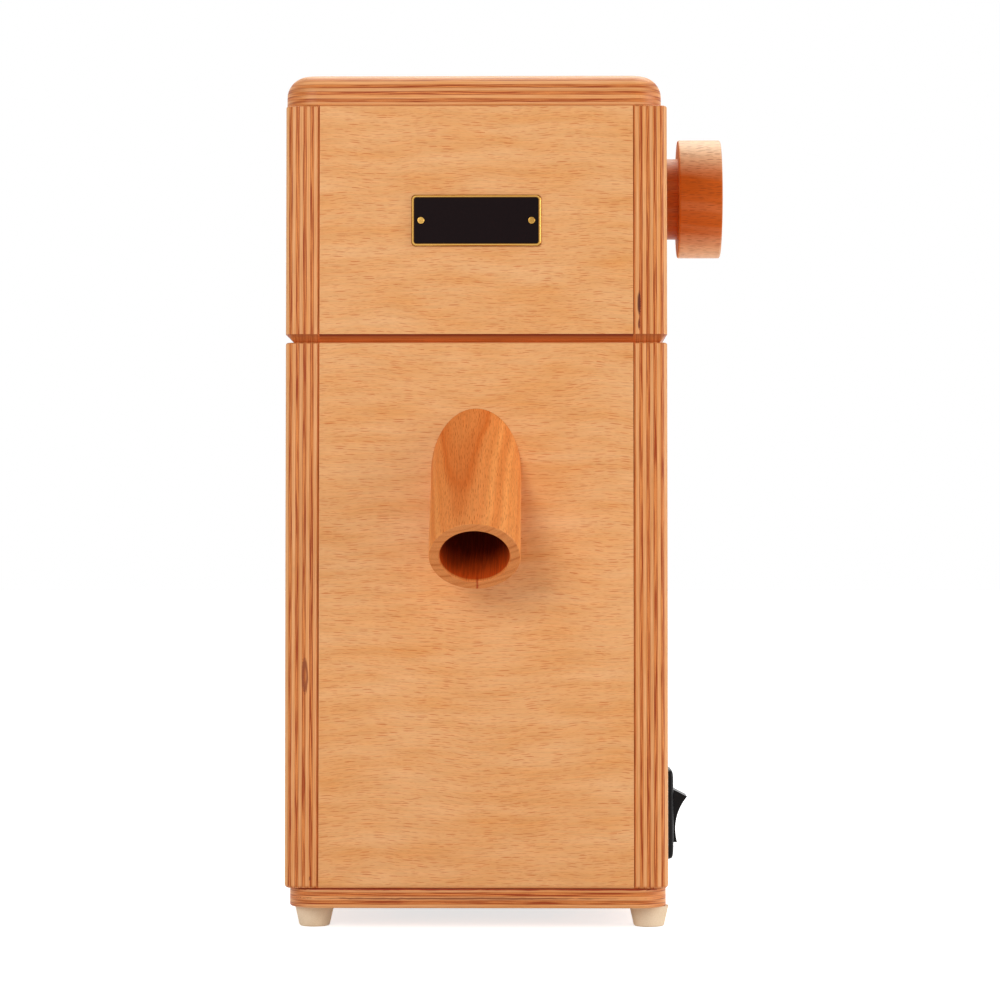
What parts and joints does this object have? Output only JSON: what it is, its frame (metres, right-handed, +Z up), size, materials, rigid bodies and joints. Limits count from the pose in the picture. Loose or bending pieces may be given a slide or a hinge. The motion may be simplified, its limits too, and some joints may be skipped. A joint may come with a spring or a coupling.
{
  "type": "electric grain mill",
  "caption": "Electric grain mill: motor and millstones in a beech plywood casing, hopper under a loose lid, side knob for fineness, slanted spout and rocker switch.",
  "frame": {"origin": "middle of the whole outline seen from above, on the surface that the feet stand on", "axes": "+Z up, +X to the right of someone who faces the spout, +Y to the rear"},
  "size_m": [0.1691, 0.2059, 0.3242],
  "materials": {
    "beech_ply": "oiled",
    "beech": "oiled",
    "foot_rubber": "matte",
    "seal_rubber": "matte",
    "steel": "zinc plated",
    "zinc_steel": "zinc plated",
    "bearing_steel": "polished",
    "laminated_steel": "stacked sheet",
    "brass": "polished",
    "plate_brass": "black field, polished rim",
    "copper": "varnished wire",
    "aluminium": "cast",
    "motor_enamel": "satin",
    "capacitor_can": "drawn can",
    "cam_nylon": "nylon",
    "fan_plastic": "moulded",
    "millstone": "corundum and ceramic",
    "switch_black": "glossy",
    "bush_black": "moulded"
  },
  "bodies": {
    "housing": {"body_left_panel": "beech_ply", "body_right_panel": "beech_ply", "body_front_panel": "beech_ply", "body_rear_panel": "beech_ply", "base_plate": "beech_ply", "rubber_feet": "foot_rubber", "foot_screws": "steel", "base_screws": "steel", "body_corner_posts": "beech", "motor_deck": "beech_ply", "deck_screws": "steel", "motor_bolts": "steel", "shaft_seal": "seal_rubber", "chamber_block": "beech_ply", "spout": "beech", "head_left_panel": "beech_ply", "head_right_panel": "beech_ply", "head_front_panel": "beech_ply", "head_rear_panel": "beech_ply", "head_corner_posts": "beech", "head_screws": "steel", "hopper_rim": "beech_ply", "hopper_end_boards": "beech_ply", "hopper_side_boards": "beech_ply", "hopper_throat": "beech", "name_plate": "plate_brass", "name_plate_screws": "brass", "spindle_bush": "brass", "guide_pins": "steel", "carrier_springs": "steel", "motor_case": "motor_enamel", "motor_top_bell": "aluminium", "motor_bottom_bell": "aluminium", "stator_core": "laminated_steel", "stator_windings": "copper", "bearing_outer_rings": "bearing_steel", "capacitor": "capacitor_can", "switch_housing": "switch_black", "switch_terminals": "brass", "cord_bush": "bush_black"},
    "lid": {"lid_board": "beech_ply", "lid_battens": "beech"},
    "knob": {"fineness_knob": "beech", "knob_spindle": "steel", "fineness_cam": "cam_nylon", "cam_pin": "steel"},
    "carrier": {"stone_carrier": "aluminium", "upper_stone": "millstone", "pressure_yoke": "zinc_steel", "yoke_screws": "steel"},
    "runner": {"motor_shaft": "steel", "rotor_core": "laminated_steel", "bearing_inner_rings": "bearing_steel", "cooling_fan": "fan_plastic", "stone_hub": "aluminium", "lower_stone": "millstone", "stone_nut": "steel"},
    "rocker": {"switch_rocker": "switch_black"}
  },
  "joints": [
    {"name": "lid_lift", "type": "slide", "parent": "housing", "child": "lid", "axis": [0, 0, 1], "range_m": [0, 0.08]},
    {"name": "knob_turn", "type": "hinge", "parent": "housing", "child": "knob", "pos_m": [0.0783, 0.011, 0.2836], "axis": [-1, 0, 0], "range_deg": [0, 300]},
    {"name": "stone_lift", "type": "slide", "parent": "housing", "child": "carrier", "axis": [0, 0, 1], "range_m": [0, 0.0012], "stiffness_N_per_m": 2000, "springref_m": 0.004, "deforming": ["carrier_springs"]},
    {"name": "motor_spin", "type": "hinge", "parent": "housing", "child": "runner", "pos_m": [-0.0117, 0.011, 0.19], "axis": [0, 0, 1], "continuous": true},
    {"name": "switch_rock", "type": "hinge", "parent": "housing", "child": "rocker", "pos_m": [0.0588, 0.011, 0.03855], "axis": [0, -1, 0], "range_deg": [0, 25]}
  ],
  "couplings": [
    {"joint": "knob_turn", "follows": "stone_lift", "rad_per_m": 4363.3}
  ]
}
